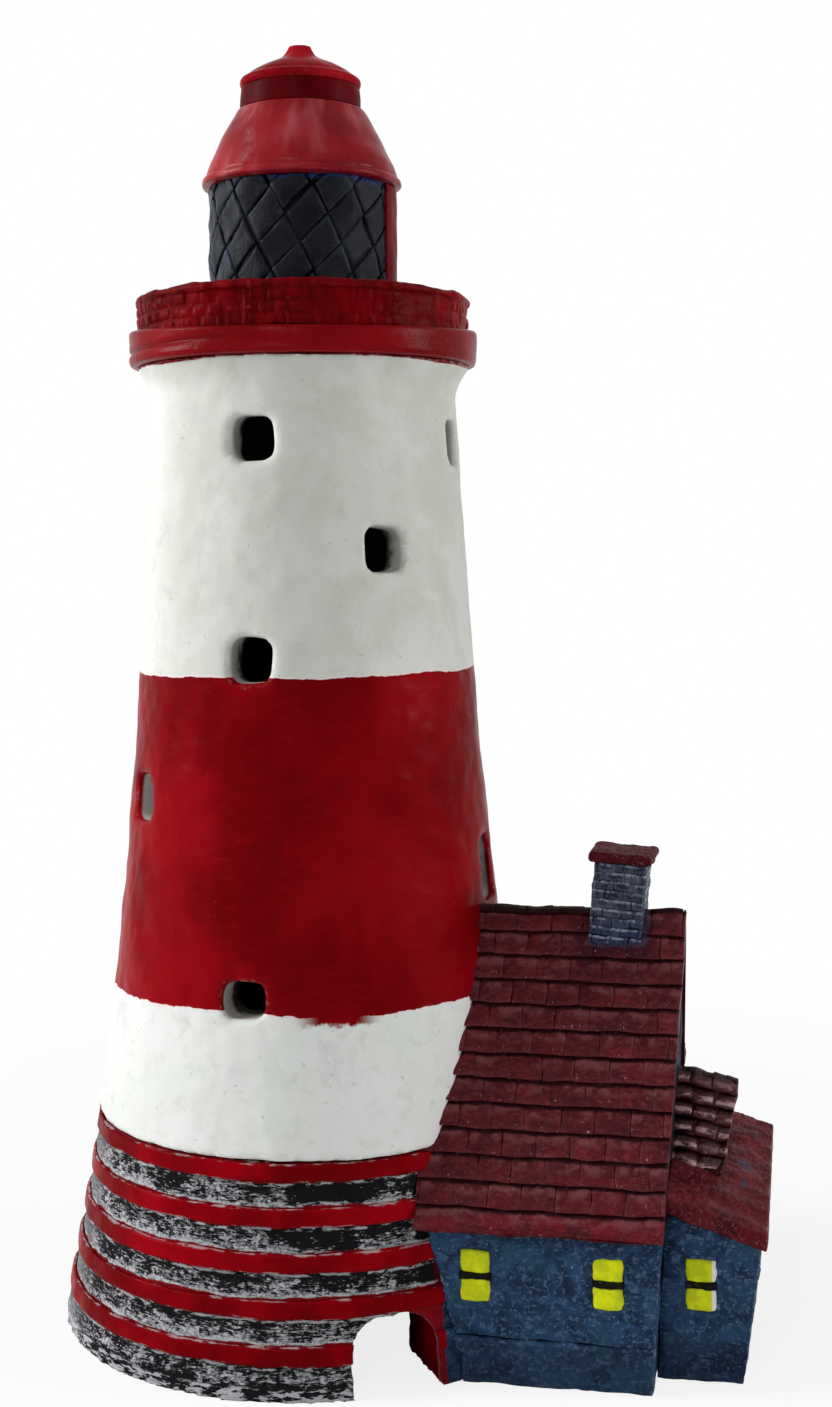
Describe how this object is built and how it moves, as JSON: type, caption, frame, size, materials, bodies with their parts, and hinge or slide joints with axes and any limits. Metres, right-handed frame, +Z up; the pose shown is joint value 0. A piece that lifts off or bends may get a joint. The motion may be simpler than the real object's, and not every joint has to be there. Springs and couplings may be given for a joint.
{
  "type": "aquarium lighthouse ornament",
  "caption": "Hollow striped lighthouse on a ringed stone foot with a swim-through arch, brick-walled gallery and latticed lantern, with a tiled cottage and wing joined to its side",
  "frame": {"origin": "on the ground, under the middle of the whole ornament", "axes": "+Z up the tower, +X from the tower towards the cottage, -Y the front with the cottage's windows"},
  "size_m": [0.1704, 0.1206, 0.3],
  "materials": {
    "dry_brushed_stone": "black stone texture dry-brushed with white",
    "red_gloss": "deep red gloss paint, brushed by hand",
    "striped_paint": "off-white and deep red bands, satin to gloss",
    "navy_gloss": "navy-black gloss",
    "slate_blue_wall": "mottled slate blue, satin",
    "maroon_tile": "maroon tiles, satin with worn edges",
    "blue_brick": "blue-grey bricks with dark joints",
    "yellow_pane": "bright yellow paint",
    "black_bar": "black paint"
  },
  "bodies": {
    "root": {"stone_foot": "dry_brushed_stone", "painted_rings": "red_gloss", "tower_shaft": "striped_paint", "gallery_deck": "red_gloss", "gallery_parapet": "red_gloss", "lantern_room": "navy_gloss", "lantern_blank_panel": "red_gloss", "lantern_roof": "red_gloss", "roof_vent": "red_gloss", "vent_cap": "red_gloss", "cottage_plinth": "slate_blue_wall", "cottage_walls": "slate_blue_wall", "cottage_roof": "maroon_tile", "chimney_stack": "blue_brick", "chimney_cap": "maroon_tile", "wing_walls": "slate_blue_wall", "wing_roof": "maroon_tile", "dormer_roof": "maroon_tile", "main_window_left": "yellow_pane", "main_window_right": "yellow_pane", "wing_window": "yellow_pane", "side_window": "yellow_pane", "glazing_bars": "black_bar"}
  },
  "joints": []
}
